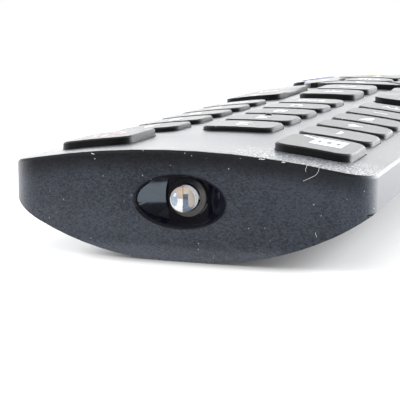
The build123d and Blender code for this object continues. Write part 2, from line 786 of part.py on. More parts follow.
lamp_leads = make_lamp_leads()
nodes = {
    "upper_shell": make_upper_shell(),
    "lower_shell": make_lower_shell(),
    "battery_cover": make_battery_cover(),
    "window_surround": make_window(),
    "infrared_lamp": make_lamp(lamp_leads),
    "lamp_leads": lamp_leads,
    "keypad_mat": make_mat(),
    "circuit_board": make_board(),
    "controller_chip": make_chip(),
    "storage_capacitor": make_capacitor(),
    "ceramic_resonator": make_resonator(),
    "left_cell": make_cell(-1),
    "right_cell": make_cell(1),
    "front_spring": make_spring(1),
    "tail_spring": make_spring(-1),
    "positive_contact": make_front_contact(-1),
    "negative_contact": make_front_contact(1),
    "tail_contact": make_tail_contact(),
    "case_screws": make_screws(),
}
for name, (outline, rise) in plain_keys.items():
    nodes[name] = make_key(outline, rise)
for name, (outline, x) in rockers.items():
    nodes[name] = make_rocker(outline, x)

os.makedirs("parts", exist_ok=True)
for name, solid in nodes.items():
    export_step(solid, f"parts/{name}.step")
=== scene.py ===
import math

import bmesh
import bpy
from mathutils import Matrix, Vector
from mathutils.bvhtree import BVHTree


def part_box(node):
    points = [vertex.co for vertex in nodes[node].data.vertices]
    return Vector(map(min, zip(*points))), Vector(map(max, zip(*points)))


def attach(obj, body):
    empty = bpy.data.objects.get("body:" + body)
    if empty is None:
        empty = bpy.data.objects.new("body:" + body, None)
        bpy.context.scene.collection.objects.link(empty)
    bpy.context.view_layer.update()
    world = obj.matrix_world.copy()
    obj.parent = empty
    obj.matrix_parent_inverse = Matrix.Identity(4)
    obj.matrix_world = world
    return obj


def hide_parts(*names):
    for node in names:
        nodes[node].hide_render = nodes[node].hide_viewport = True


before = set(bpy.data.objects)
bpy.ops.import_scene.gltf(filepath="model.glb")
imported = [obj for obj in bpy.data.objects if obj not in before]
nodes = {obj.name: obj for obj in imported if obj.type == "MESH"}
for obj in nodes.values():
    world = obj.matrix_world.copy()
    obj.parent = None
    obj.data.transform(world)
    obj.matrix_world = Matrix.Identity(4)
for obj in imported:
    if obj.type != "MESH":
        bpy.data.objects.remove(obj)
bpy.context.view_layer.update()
mm = 0.001
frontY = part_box("upper_shell")[0].y


class Signal:
    # a shader socket that can stand in sums
    def __init__(self, finish, socket):
        self.finish = finish
        self.socket = socket

    def combine(self, operation, first, second):
        return self.finish.node("Math", {"operation": operation}, {0: first, 1: second})

    def __add__(self, other):
        return self.combine("ADD", self, other)

    def __radd__(self, other):
        return self.combine("ADD", other, self)

    def __sub__(self, other):
        return self.combine("SUBTRACT", self, other)

    def __rsub__(self, other):
        return self.combine("SUBTRACT", other, self)

    def __mul__(self, other):
        return self.combine("MULTIPLY", self, other)

    def __rmul__(self, other):
        return self.combine("MULTIPLY", other, self)

    def __truediv__(self, other):
        return self.combine("DIVIDE", self, other)

    def __rtruediv__(self, other):
        return self.combine("DIVIDE", other, self)

    def __gt__(self, other):
        return self.combine("GREATER_THAN", self, other)

    def __lt__(self, other):
        return self.combine("LESS_THAN", self, other)


class Finish:
    # one node tree with the calls that add to it
    def __init__(self, tree):
        self.tree = tree

    def node(self, kind, settings, sockets, output=0):
        made = self.tree.nodes.new("ShaderNode" + kind)
        for key, value in settings.items():
            setattr(made, key, value)
        for key, value in sockets.items():
            self.feed(made.inputs[key], value)
        return Signal(self, made.outputs[output])

    def feed(self, socket, value):
        if isinstance(value, Signal):
            self.tree.links.new(value.socket, socket)
        else:
            socket.default_value = value

    def place(self):
        return self.node("TexCoord", {}, {}, "Object")

    def axis(self, vector, letter):
        return self.node("SeparateXYZ", {}, {0: vector}, letter)

    def stretch(self, vector, scale):
        return self.node("VectorMath", {"operation": "MULTIPLY"}, {0: vector, 1: scale})

    def noise(self, vector, size, detail=2.0, rough=0.5):
        # lumps of about this many metres
        sockets = {"Vector": vector, "Scale": 1 / size, "Detail": detail, "Roughness": rough}
        return self.node("TexNoise", {}, sockets)

    def cells(self, vector, size, output="Distance"):
        return self.node("TexVoronoi", {}, {"Vector": vector, "Scale": 1 / size}, output)

    def ramp(self, value, low, high, first=0.0, last=1.0):
        settings = {"interpolation_type": "SMOOTHSTEP"}
        return self.node("MapRange", settings, {0: value, 1: low, 2: high, 3: first, 4: last})

    def blend(self, share, first, second):
        return self.node("Mix", {"data_type": "RGBA"}, {0: share, 6: first, 7: second}, 2)

    def bump(self, height, distance, strength):
        return self.node("Bump", {}, {"Height": height, "Distance": distance, "Strength": strength})

    def specks(self, vector, cell, reach, share):
        # a dot of dust in some of the cells
        chance = self.axis(self.cells(vector, cell, "Color"), "X")
        return (self.cells(vector, cell) < reach) * (chance > 1 - share)


def colour(red, green, blue):
    return (red, green, blue, 1.0)


def grey(level):
    return colour(level, level, level)


def changed(tone, share, lift=0.0):
    return colour(*(min(1.0, part * share + lift) for part in tone[:3]))


def newFinish(name):
    material = bpy.data.materials.new(name)
    material.use_nodes = True
    finish = Finish(material.node_tree)
    finish.material = material
    finish.shader = material.node_tree.nodes["Principled BSDF"]
    return finish


def setShader(finish, values):
    for key, value in values.items():
        finish.feed(finish.shader.inputs[key], value)
    return finish.material


# moulded plastic and rubber with a spark-worn grain and a few specks of dust
grain = {
    "size": 0.2 * mm,
    "pebbles": 0.3 * mm,
    "stretch": (0.75, 1.0, 1.25),
    "broad": 18 * mm,
    "fineShare": 0.7,
    "lumps": (0.36, 0.64),
    "deep": 0.6,
    "pale": (1.9, 0.006),  # share and lift of the tone
    "depth": 0.06 * mm,
    "fineDepth": 0.65,
    "pebbleDepth": 0.45,
    "roughSwing": 0.12,
    "dustCell": 0.9 * mm,
    "dustWander": 0.12 * mm,
    "dustReach": 0.16,
    "dustShare": 0.45,
    "dustCover": 0.85,
    "dustTone": colour(0.5, 0.51, 0.53),
}
windowLow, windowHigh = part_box("window_surround")
# the window's half sizes and middle height, and the lip round it, whose dark tone is painted shade
lip = {
    "x": (windowHigh.x - windowLow.x) / 2,
    "z": (windowHigh.z - windowLow.z) / 2,
    "middle": (windowLow.z + windowHigh.z) / 2,
    "reach": (1.1, 1.16),
    "tone": colour(0.001, 0.001, 0.0015),
    "share": 0.4,
    "rough": 0.5,
}
# light and shade that is painted on, to follow the photograph: it stays when the light changes
painted = {
    "crownDrop": 4.42,
    "bandHeight": (10.8 * mm, 13.6 * mm),
    "bandWander": 0.8 * mm,
    "shadeBandTone": grey(0.0),
    "endWall": (0.2 * mm, 3 * mm),
    "skirtTurn": (-0.3, -0.7),
    "skirtShadeTone": colour(0.0005, 0.0005, 0.0012),
    "skirtRough": 0.3,
    "edgeAhead": (-0.1, -0.3),
    "edgeAbove": (0.25, 0.4),
    "edgeShadeTone": colour(0.002, 0.002, 0.003),
    "edgeShare": 0.7,
    "edgeRough": 0.4,
    "glintSize": 0.28 * mm,
    "glintCut": (0.5, 0.58),
    "glintAbove": (0.8, 0.95),
    "glintAlong": (4 * mm, 14 * mm),
    "glintAcross": (2 * mm, 12 * mm),
    "glintTone": colour(0.62, 0.64, 0.67),
    "glintShare": 0.6,
}


def fromFront(distances):
    return [frontY + distance for distance in distances]


def mouldedFinish(name, tone, roughness, strength, grainScale=1.0, dust=1.0, shade=0.0, wall=0.0):
    finish = newFinish(name)
    at = finish.place()
    across, along, upward = (finish.axis(at, letter) for letter in "XYZ")
    drawn = finish.stretch(at, grain["stretch"])
    broad = finish.noise(at, grain["broad"], 3.0)
    fine = finish.noise(drawn, grain["size"] * grainScale, 2.5, 0.6)
    pebbles = finish.cells(drawn, grain["pebbles"] * grainScale)
    height = fine * grain["fineDepth"] + pebbles * grain["pebbleDepth"]
    lumps = fine * grain["fineShare"] + broad * (1 - grain["fineShare"])
    lumps = finish.ramp(lumps, *grain["lumps"])
    body = finish.blend(lumps, changed(tone, grain["deep"]), changed(tone, *grain["pale"]))
    onShell = 1.0 if shade > 0.0 else 0.0
    front = finish.ramp(along, *fromFront(painted["endWall"]), 1.0, 0.0)
    # a painted shade band under the crowned edge of the end wall, which drops towards the sides
    crown = upward + across * across * painted["crownDrop"]
    band = finish.ramp(crown + fine * painted["bandWander"], *painted["bandHeight"]) * front * shade
    body = finish.blend(band, body, painted["shadeBandTone"])
    # painted shade: a narrow dark ring round the window opening, which is also made rougher
    lipX, lipZ = across / lip["x"], (upward - lip["middle"]) / lip["z"]
    lipShade = finish.ramp(lipX * lipX + lipZ * lipZ, *lip["reach"], 1.0, 0.0) * front * onShell
    body = finish.blend(lipShade * lip["share"], body, lip["tone"])
    # painted shade: upright faces towards the lamp end are painted darker, and rougher
    facing = finish.node("TexCoord", {}, {}, "Normal")
    ahead, above = finish.axis(facing, "Y"), finish.axis(facing, "Z")
    skirtShade = finish.ramp(ahead, *painted["skirtTurn"]) * wall
    body = finish.blend(skirtShade, body, painted["skirtShadeTone"])
    # painted shade: the turned edge between the top and the end wall is painted darker, and it is
    # also rougher
    edge = finish.ramp(ahead, *painted["edgeAhead"]) * finish.ramp(above, *painted["edgeAbove"])
    edge = edge * front * onShell
    body = finish.blend(edge * painted["edgeShare"], body, painted["edgeShadeTone"])
    # painted highlights: glints in the top's grain near the lamp end's right corner
    corner = finish.ramp(along, *fromFront(painted["glintAlong"]), 1.0, 0.0)
    corner = corner * finish.ramp(across, *painted["glintAcross"])
    paintedGlint = finish.ramp(finish.noise(at, painted["glintSize"], 2.0, 0.7), *painted["glintCut"])
    paintedGlint = paintedGlint * finish.ramp(above, *painted["glintAbove"]) * corner * onShell
    body = finish.blend(paintedGlint * painted["glintShare"], body, painted["glintTone"])
    reach = finish.noise(at, grain["dustWander"], 2.0) * grain["dustReach"]
    specks = finish.specks(at, grain["dustCell"], reach, grain["dustShare"] * dust)
    body = finish.blend(specks * grain["dustCover"], body, grain["dustTone"])
    rough = (broad + fine - 1.0) * grain["roughSwing"] + roughness
    rough = rough + lipShade * lip["rough"] + skirtShade * painted["skirtRough"]
    rough = rough + edge * painted["edgeRough"]
    return setShader(finish, {
        "Base Color": body,
        "Roughness": rough,
        "Normal": finish.bump(height, grain["depth"] * grainScale, strength),
    })


# the window's gloss; the collar round the lamp has a painted pale reflection at its lower right
windowGloss = {
    "tone": colour(0.0095, 0.0115, 0.0195),
    "ior": 1.58,
    "coat": 0.6,
    "coatRough": 0.03,
    "ripple": 4 * mm,
    "rippleDepth": 0.02 * mm,
    "rippleBump": 0.5,
    "smear": 1.5 * mm,
    "smearStretch": (1.0, 1.0, 3.0),
    "smearCut": (0.45, 0.8),
    "rough": (0.035, 0.1),
    "dustCell": 0.9 * mm,
    "dustReach": 0.05,
    "dustShare": 0.07,
    "dustCover": 0.7,
    "dustTone": colour(0.4, 0.4, 0.42),
    "collarSquared": (0.0000063, 0.0000058),  # distance from the lamp's axis, squared
    "collarDepth": (2.9 * mm, 2.95 * mm),
    "collarSlant": (-0.6 * mm, 2.8 * mm),
    "collarSmear": 2 * mm,
    "collarReflectionTone": colour(0.2, 0.19, 0.18),
    "collarReflectionShare": 0.8,
}


def glossFinish():
    finish = newFinish("windowGloss")
    at = finish.place()
    ripple = finish.noise(at, windowGloss["ripple"], 2.0)
    stretched = finish.stretch(at, windowGloss["smearStretch"])
    smear = finish.noise(stretched, windowGloss["smear"], 4.0, 0.6)
    dust = finish.specks(at, windowGloss["dustCell"], windowGloss["dustReach"],
                         windowGloss["dustShare"])
    lampLow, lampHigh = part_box("infrared_lamp")
    across = finish.axis(at, "X")
    upward = finish.axis(at, "Z") - (lampLow.z + lampHigh.z) / 2
    squared = across * across + upward * upward
    front = finish.ramp(finish.axis(at, "Y"), *fromFront(windowGloss["collarDepth"]), 1.0, 0.0)
    # a painted pale reflection on the collar's lower right
    slant = across - upward + smear * windowGloss["collarSmear"]
    pale = finish.ramp(squared, *windowGloss["collarSquared"]) * front
    pale = pale * finish.ramp(slant, *windowGloss["collarSlant"]) * windowGloss["collarReflectionShare"]
    body = finish.blend(pale, windowGloss["tone"], windowGloss["collarReflectionTone"])
    return setShader(finish, {
        "Base Color": finish.blend(dust * windowGloss["dustCover"], body, windowGloss["dustTone"]),
        "Roughness": finish.ramp(smear, *windowGloss["smearCut"], *windowGloss["rough"]),
        "IOR": windowGloss["ior"],
        "Coat Weight": windowGloss["coat"],
        "Coat Roughness": windowGloss["coatRough"],
        "Normal": finish.bump(ripple, windowGloss["rippleDepth"], windowGloss["rippleBump"]),
    })


# the lamp's clear resin, with faint flow lines
clearCast = {
    "tone": colour(0.97, 0.985, 1.0),
    "flowTone": colour(0.93, 0.95, 0.985),
    "flow": 1.2 * mm,
    "flowStretch": (1.0, 0.4, 1.0),
    "rough": 0.02,
    "ior": 1.53,
    "depth": 0.03 * mm,
    "bump": 0.6,
}


def clearFinish():
    finish = newFinish("lampClear")
    at = finish.place()
    flow = finish.noise(finish.stretch(at, clearCast["flowStretch"]), clearCast["flow"], 2.0)
    return setShader(finish, {
        "Base Color": finish.blend(flow, clearCast["tone"], clearCast["flowTone"]),
        "Roughness": flow * clearCast["rough"],
        "IOR": clearCast["ior"],
        "Transmission Weight": 1.0,
        "Normal": finish.bump(flow, clearCast["depth"], clearCast["bump"]),
    })


# plated metal with fine drawn lines
metal = {
    "broad": 4 * mm,
    "lines": 0.25 * mm,
    "worn": 0.72,
    "wornShare": 0.8,
    "lineRough": 0.22,
    "broadRough": 0.1,
    "roughDrop": 0.15,
    "depth": 0.008 * mm,
    "bump": 0.5,
}


def metalFinish(name, tone, roughness, streak=(1.0, 1.0, 1.0)):
    finish = newFinish(name)
    at = finish.place()
    broad = finish.noise(at, metal["broad"], 3.0)
    lines = finish.noise(finish.stretch(at, streak), metal["lines"], 3.0, 0.65)
    rough = lines * metal["lineRough"] + broad * metal["broadRough"]
    return setShader(finish, {
        "Base Color": finish.blend(broad * metal["wornShare"], tone, changed(tone, metal["worn"])),
        "Metallic": 1.0,
        "Roughness": rough + (roughness - metal["roughDrop"]),
        "Normal": finish.bump(lines, metal["depth"], metal["bump"]),
    })


# printed ink, a little worn
printed = {
    "fine": 0.18 * mm,
    "worn": 1.1 * mm,
    "wornCut": (0.5, 0.75),
    "wornTone": 0.78,
    "rough": 0.42,
    "roughSwing": 0.2,
    "depth": 0.01 * mm,
    "bump": 0.4,
}


def inkFinish(name, tone):
    finish = newFinish(name)
    at = finish.place()
    fine = finish.noise(at, printed["fine"], 3.0, 0.6)
    worn = finish.ramp(finish.noise(at, printed["worn"], 3.0, 0.6), *printed["wornCut"])
    return setShader(finish, {
        "Base Color": finish.blend(worn, tone, changed(tone, printed["wornTone"])),
        "Roughness": fine * printed["roughSwing"] + printed["rough"],
        "Normal": finish.bump(fine, printed["depth"], printed["bump"]),
    })


# the circuit board's green lacquer
laminate = {
    "pattern": (160.0, 160.0, 160.0),
    "tones": {
        "Color1": colour(0.02, 0.17, 0.06),
        "Color2": colour(0.018, 0.13, 0.05),
        "Mortar": colour(0.04, 0.28, 0.1),
    },
    "line": 0.03,
    "weave": 0.5 * mm,
    "weaveStretch": (1.0, 3.0, 1.0),
    "weaveTone": colour(0.03, 0.2, 0.08),
    "weaveShare": 0.4,
    "rough": 0.3,
    "roughSwing": 0.15,
    "depth": 0.01 * mm,
    "bump": 0.4,
}


def boardFinish():
    finish = newFinish("boardLaminate")
    at = finish.place()
    weave = finish.noise(finish.stretch(at, laminate["weaveStretch"]), laminate["weave"], 2.0)
    drawn = finish.stretch(at, laminate["pattern"])
    brick = finish.node("TexBrick", {}, {
        "Vector": drawn, "Mortar Size": laminate["line"], **laminate["tones"]})
    return setShader(finish, {
        "Base Color": finish.blend(weave * laminate["weaveShare"], brick, laminate["weaveTone"]),
        "Roughness": weave * laminate["roughSwing"] + laminate["rough"],
        "Normal": finish.bump(weave, laminate["depth"], laminate["bump"]),
    })


# the cells' wrap, with bare metal ends
cellWrap = {
    "tone": colour(0.012, 0.012, 0.014),
    "band": 12 * mm,
    "shadeBandTone": colour(0.62, 0.3, 0.1),
    "cap": 1.2 * mm,
    "capTone": colour(0.6, 0.6, 0.58),
    "metallic": 0.8,
    "fine": 0.8 * mm,
    "rough": 0.22,
    "roughSwing": 0.15,
    "depth": 0.01 * mm,
    "bump": 0.3,
}


def wrapFinish():
    finish = newFinish("cellWrap")
    at = finish.place()
    along = finish.axis(at, "Y")
    # the copper band is at each cell's positive end, so the two bands face opposite ways
    side = finish.axis(at, "X") > 0.0
    low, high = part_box("left_cell")
    first, last = along < low.y + cellWrap["band"], along > high.y - cellWrap["band"]
    if (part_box("left_cell")[0].x > 0) == (low.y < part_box("right_cell")[0].y):
        first, last = last, first
    mask = side * last + (1.0 - side) * first
    fine = finish.noise(at, cellWrap["fine"], 3.0)
    body = finish.blend(mask, cellWrap["tone"], cellWrap["shadeBandTone"])
    ends = (along < low.y + cellWrap["cap"]) + (along > high.y - cellWrap["cap"])
    body = finish.blend(finish.ramp(ends, 0.0, 1.0), body, cellWrap["capTone"])
    return setShader(finish, {
        "Base Color": body,
        "Metallic": finish.ramp(ends + mask, 0.0, 1.0, 0.0, cellWrap["metallic"]),
        "Roughness": fine * cellWrap["roughSwing"] + cellWrap["rough"],
        "Normal": finish.bump(fine, cellWrap["depth"], cellWrap["bump"]),
    })


# tone, roughness and bump of each finish, then the scale of its grain and its dust; shade and wall
# set how strong the painted shade and highlights are
plasticTone = colour(0.0265, 0.0325, 0.0455)
rubberTone = colour(0.0075, 0.010, 0.0135)
finishes = {
    "shell_plastic": mouldedFinish("shellPlastic", plasticTone, 0.43, 0.48, shade=0.75),
    "key_rubber": mouldedFinish("keyRubber", rubberTone, 0.46, 0.5, 0.8, 0.8, wall=0.85),
    "red_key": mouldedFinish("redKey", colour(0.2, 0.012, 0.012), 0.5, 0.5, 0.8),
    "green_key": mouldedFinish("greenKey", colour(0.01, 0.11, 0.035), 0.5, 0.5, 0.8),
    "yellow_key": mouldedFinish("yellowKey", colour(0.3, 0.2, 0.015), 0.5, 0.5, 0.8),
    "blue_key": mouldedFinish("blueKey", colour(0.01, 0.035, 0.17), 0.5, 0.5, 0.8),
    "window_plastic": glossFinish(),
    "lamp_clear": clearFinish(),
    "mat_rubber": mouldedFinish("matRubber", colour(0.09, 0.09, 0.095), 0.62, 0.4, 1.6, 0.0),
    "board_laminate": boardFinish(),
    "chip_plastic": mouldedFinish("chipPlastic", colour(0.018, 0.018, 0.019), 0.55, 0.5, 0.6, 0.0),
    "can_sleeve": mouldedFinish("canSleeve", colour(0.012, 0.03, 0.12), 0.35, 0.2, 2.0, 0.0),
    "resonator_body": mouldedFinish("resonatorBody", colour(0.36, 0.15, 0.03), 0.45, 0.4, 1.2, 0.0),
    "cell_wrap": wrapFinish(),
    "spring_wire": metalFinish("springWire", colour(0.72, 0.72, 0.7), 0.3),
    "contact_plate": metalFinish("contactPlate", colour(0.78, 0.77, 0.74), 0.34, (1.0, 0.15, 1.0)),
    "screw_steel": metalFinish("screwSteel", colour(0.5, 0.5, 0.5), 0.36),
}
whiteInk = inkFinish("whiteInk", colour(0.86, 0.87, 0.88))
redInk = inkFinish("redInk", colour(0.8, 0.56, 0.54))
for node in nodes.values():
    for slot in node.material_slots:
        given = slot.material.name.split(".")[0]
        if given in finishes:
            slot.material = finishes[given]
print("materials", len(finishes))


smoothing = {"turn": 31, "weld": 0.001 * mm}


def smoothGroup():
    # smooth shading where faces turn less than this, and crisp edges where they turn more
    group = bpy.data.node_groups.new("smoothByTurn", "GeometryNodeTree")
    group.interface.new_socket("Geometry", in_out="INPUT", socket_type="NodeSocketGeometry")
    group.interface.new_socket("Geometry", in_out="OUTPUT", socket_type="NodeSocketGeometry")
    start = group.nodes.new("NodeGroupInput")
    end = group.nodes.new("NodeGroupOutput")
    plain = group.nodes.new("GeometryNodeRemoveAttribute")
    plain.inputs["Name"].default_value = "custom_normal"
    faces = group.nodes.new("GeometryNodeSetShadeSmooth")
    edges = group.nodes.new("GeometryNodeSetShadeSmooth")
    edges.domain = "EDGE"
    edges.inputs["Shade Smooth"].default_value = False
    turn = group.nodes.new("GeometryNodeInputMeshEdgeAngle")
    sharp = group.nodes.new("FunctionNodeCompare")
    sharp.operation = "GREATER_THAN"
    sharp.inputs[1].default_value = math.radians(smoothing["turn"])
    links = group.links
    links.new(start.outputs[0], plain.inputs["Geometry"])
    links.new(plain.outputs[0], faces.inputs["Geometry"])
    links.new(faces.outputs[0], edges.inputs["Geometry"])
    links.new(turn.outputs["Unsigned Angle"], sharp.inputs[0])
    links.new(sharp.outputs[0], edges.inputs["Selection"])
    links.new(edges.outputs[0], end.inputs[0])
    return group


softEdges = smoothGroup()


def soften(item):
    item.modifiers.new("weld", "WELD").merge_threshold = smoothing["weld"]
    item.modifiers.new("shade", "NODES").node_group = softEdges


for name, node in nodes.items():
    soften(node)
    if name.startswith("key_") or name.endswith("_rocker"):
        node.modifiers.new("edge", "WEIGHTED_NORMAL").keep_sharp = True
print("smooth edges")


def placed(name, data):
    item = bpy.data.objects.new(name, data)
    bpy.context.scene.collection.objects.link(item)
    return item


def addPiece(name, mesh, material, body):
    piece = placed(name, mesh)
    mesh.materials.clear()
    mesh.materials.append(material)
    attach(piece, body)
    return piece


def meshFrom(build):
    mesh = bpy.data.meshes.new("built")
    build.to_mesh(mesh)
    build.free()
    return mesh


def bakedMesh(item):
    # a curve or a cut shape as it stands, as a mesh; the item itself is removed
    bpy.context.view_layer.update()
    graph = bpy.context.evaluated_depsgraph_get()
    mesh = bpy.data.meshes.new_from_object(item.evaluated_get(graph))
    bpy.data.objects.remove(item)
    return mesh


def cornersIn(geom):
    return [item for item in geom if isinstance(item, bmesh.types.BMVert)]


# flat marks: each call adds to a sheet that lies in the plane z = 0, up is +Y, in millimetres
def addBar(sheet, width, height, x=0.0, y=0.0, turn=0.0):
    place = Matrix.Translation((x, y, 0)) @ Matrix.Rotation(math.radians(turn), 4, "Z")
    place = place @ Matrix.Diagonal((width / 2, height / 2, 1, 1))
    bmesh.ops.create_grid(sheet, x_segments=1, y_segments=1, size=1.0, matrix=place)


def addArc(sheet, radius, width, start, sweep, x=0.0, y=0.0, steps=20):
    inner = sheet.verts.new((radius - width / 2, 0, 0))
    outer = sheet.verts.new((radius + width / 2, 0, 0))
    edge = sheet.edges.new((inner, outer))
    turned = Matrix.Rotation(math.radians(start), 3, "Z")
    bmesh.ops.rotate(sheet, verts=[inner, outer], cent=(0, 0, 0), matrix=turned)
    made = bmesh.ops.spin(sheet, geom=[inner, outer, edge], cent=(0, 0, 0), axis=(0, 0, 1),
                          angle=math.radians(sweep), steps=steps)
    touched = set()
    grow = cornersIn(made["geom_last"]) + [inner, outer]
    while grow:
        vert = grow.pop()
        if vert in touched:
            continue
        touched.add(vert)
        grow.extend(link.other_vert(vert) for link in vert.link_edges)
    bmesh.ops.translate(sheet, verts=list(touched), vec=(x, y, 0))


def addTriangle(sheet, radius, x=0.0, y=0.0, turn=0.0):
    place = Matrix.Translation((x, y, 0)) @ Matrix.Rotation(math.radians(turn), 4, "Z")
    bmesh.ops.create_circle(sheet, cap_ends=True, segments=3, radius=radius, matrix=place)


def powerSign(sheet):
    addArc(sheet, 2.0, 0.42, 125, 290)
    addBar(sheet, 0.42, 2.2, 0, 1.6)


def inputSign(sheet):
    # a case with three sockets and the lead that goes into it
    addBar(sheet, 4.1, 1.75, -0.8, 0.7)
    addBar(sheet, 4.1, 1.75, -0.8, -2.9)
    for x in (-2.55, -1.45, -0.15, 0.95):
        addBar(sheet, 0.6, 2.0, x, -1.1)
    addBar(sheet, 2.6, 0.55, 2.1, -3.55, -36)


def muteSign(sheet):
    addBar(sheet, 0.8, 1.0, -1.3, 0)
    addTriangle(sheet, 1.25, -0.55, 0, 90)
    addArc(sheet, 1.15, 0.24, -42, 84, -0.2, 0, 8)
    addBar(sheet, 4.0, 0.24, -0.3, 0, 42)


def lastSign(sheet):
    addArc(sheet, 1.2, 0.34, -60, 260, 0, 0, 16)
    addTriangle(sheet, 0.75, -1.2, -0.45, 180)


def menuSign(sheet):
    for y in (-0.8, 0.0, 0.8):
        addBar(sheet, 2.3, 0.32, 0, y)


def guideSign(sheet):
    for x in (-0.72, 0.72):
        for y in (-0.72, 0.72):
            addBar(sheet, 1.0, 1.0, x, y)


def backSign(sheet):
    addArc(sheet, 0.85, 0.3, -90, 180, 0.25, 0, 10)
    addBar(sheet, 1.2, 0.3, -0.35, -0.85)
    addBar(sheet, 0.9, 0.3, -0.1, 0.85)
    addTriangle(sheet, 0.62, -0.75, 0.85, 90)


def plusSign(sheet):
    addBar(sheet, 2.2, 0.42)
    addBar(sheet, 0.42, 2.2)


def minusSign(sheet):
    addBar(sheet, 2.2, 0.42)


def arrowSign(turn):
    return lambda sheet: addTriangle(sheet, 1.25, 0, 0, turn)


lettering = {"digit": 4.4, "source": 2.3, "small": 2.6, "middle": 3.4, "thicken": 0.03, "steps": 4}


def textMesh(words, size):
    curve = bpy.data.curves.new("words", "FONT")
    curve.body = words
    curve.size = size * mm
    curve.align_x = "CENTER"
    curve.align_y = "CENTER"
    curve.offset = lettering["thicken"] * mm
    curve.resolution_u = lettering["steps"]
    return bakedMesh(placed("words", curve))


trees = {}


def surfaceTree(node):
    if node not in trees:
        built = bmesh.new()
        built.from_mesh(nodes[node].data)
        trees[node] = BVHTree.FromBMesh(built)
        built.free()
    return trees[node]


mark = {"sink": 0.03, "proud": 0.025, "clear": 10, "weld": 0.0001}


def addMark(name, sign, node, x, y, material=whiteInk, turn=180, up=True):
    # lays a flat sign on a node's upper or lower skin, as a print of real thickness
    sheet = bmesh.new()
    if isinstance(sign, tuple):
        sheet.from_mesh(textMesh(*sign))
    else:
        sign(sheet)
        bmesh.ops.scale(sheet, verts=sheet.verts, vec=(mm, mm, mm))
    bmesh.ops.remove_doubles(sheet, verts=sheet.verts, dist=mark["weld"] * mm)
    side = 1 if up else -1
    if not up:
        bmesh.ops.scale(sheet, verts=sheet.verts, vec=(-1, 1, 1))
    place = Matrix.Translation((x * mm, y * mm, 0)) @ Matrix.Rotation(math.radians(turn), 4, "Z")
    bmesh.ops.transform(sheet, verts=sheet.verts, matrix=place)
    low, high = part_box(node)
    skin = high.z if up else low.z
    start = skin + side * mark["clear"] * mm
    tree = surfaceTree(node)
    for vert in sheet.verts:
        hit = tree.ray_cast(Vector((vert.co.x, vert.co.y, start)), Vector((0, 0, -side)))
        vert.co.z = (hit[0].z if hit[0] else skin) - side * mark["sink"] * mm
    raised = bmesh.ops.extrude_face_region(sheet, geom=sheet.faces[:])
    thickness = side * (mark["sink"] + mark["proud"]) * mm
    bmesh.ops.translate(sheet, verts=cornersIn(raised["geom"]), vec=(0, 0, thickness))
    bmesh.ops.recalc_face_normals(sheet, faces=sheet.faces)
    addPiece(name, meshFrom(sheet), material, node + "_body")


def middleOf(node):
    low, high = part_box(node)
    return (low.x + high.x) / 2 / mm, (low.y + high.y) / 2 / mm


keySigns = {
    "key_power": powerSign,
    "key_input": inputSign,
    "key_tv": ("TV", lettering["small"]),
    "key_box": ("BOX", lettering["source"]),
    "key_aux": ("AUX", lettering["source"]),
}
digits = ("one", "two", "three", "four", "five", "six", "seven", "eight", "nine")
for digit, word in enumerate(digits, 1):
    keySigns["key_" + word] = (str(digit), lettering["digit"])
keySigns.update({
    "key_dash": minusSign,
    "key_zero": ("0", lettering["digit"]),
    "key_enter": arrowSign(-90),
    "key_mute": muteSign,
    "key_last": lastSign,
    "key_ok": ("OK", lettering["middle"]),
    "key_menu": menuSign,
    "key_guide": guideSign,
    "key_back": backSign,
    "key_info": ("i", lettering["middle"]),
    "key_red": ("A", lettering["small"]),
    "key_green": ("B", lettering["small"]),
    "key_yellow": ("C", lettering["small"]),
    "key_blue": ("D", lettering["small"]),
    "key_up": arrowSign(0),
    "key_down": arrowSign(180),
    "key_left": arrowSign(90),
    "key_right": arrowSign(-90),
})
for key, sign in keySigns.items():
    addMark(key + "_mark", sign, key, *middleOf(key), redInk if key == "key_power" else whiteInk)
rockers = {"names": {"volume_rocker": "VOL", "channel_rocker": "CH"}, "offset": 8.6}
for rocker, letters in rockers["names"].items():
    x, y = middleOf(rocker)
    addMark(rocker + "_plus", plusSign, rocker, x, y - rockers["offset"])
    addMark(rocker + "_minus", minusSign, rocker, x, y + rockers["offset"])
    addMark(rocker + "_name", (letters, lettering["small"]), rocker, x, y)
print("marks", len(keySigns) + 3 * len(rockers["names"]))


# the raised dot that fingers find on the middle digit
dot = {"radius": 0.55, "height": 0.3, "forward": 3.1}
x, y = middleOf("key_five")
pip = bmesh.new()
bmesh.ops.create_uvsphere(pip, u_segments=24, v_segments=12, radius=dot["radius"] * mm)
bmesh.ops.scale(pip, verts=pip.verts, vec=(1, 1, dot["height"] / dot["radius"]))
pipPlace = (x * mm, (y + dot["forward"]) * mm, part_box("key_five")[1].z)
bmesh.ops.translate(pip, verts=pip.verts, vec=pipPlace)
pipMesh = meshFrom(pip)
pipMesh.shade_smooth()
addPiece("finger_pip", pipMesh, finishes["key_rubber"], "key_five_body")


# the lamp's clear body, turned about its own axis
low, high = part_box("infrared_lamp")
lamp = {
    "radius": 1.6 * mm,
    "flange": 1.95 * mm,
    "flangeLength": 1.0 * mm,
    "noseSteps": 18,
    "turnSteps": 72,
    "weld": 0.001 * mm,
    "crease": 40,
}
axisZ = (low.z + high.z) / 2
turned = bmesh.new()
nose = turned.verts.new((0, low.y, axisZ))
arc = bmesh.ops.spin(turned, geom=[nose], cent=(0, low.y + lamp["radius"], axisZ), axis=(1, 0, 0),
                     angle=math.radians(90), steps=lamp["noseSteps"])
tip = cornersIn(arc["geom_last"])[0]
if tip.co.z < axisZ:
    flip = Matrix.Translation((0, 0, -axisZ))
    bmesh.ops.scale(turned, verts=turned.verts, vec=(1, 1, -1), space=flip)
back = high.y - lamp["flangeLength"]
outline = ((back, lamp["radius"]), (back, lamp["flange"]), (high.y, lamp["flange"]), (high.y, 0.0))
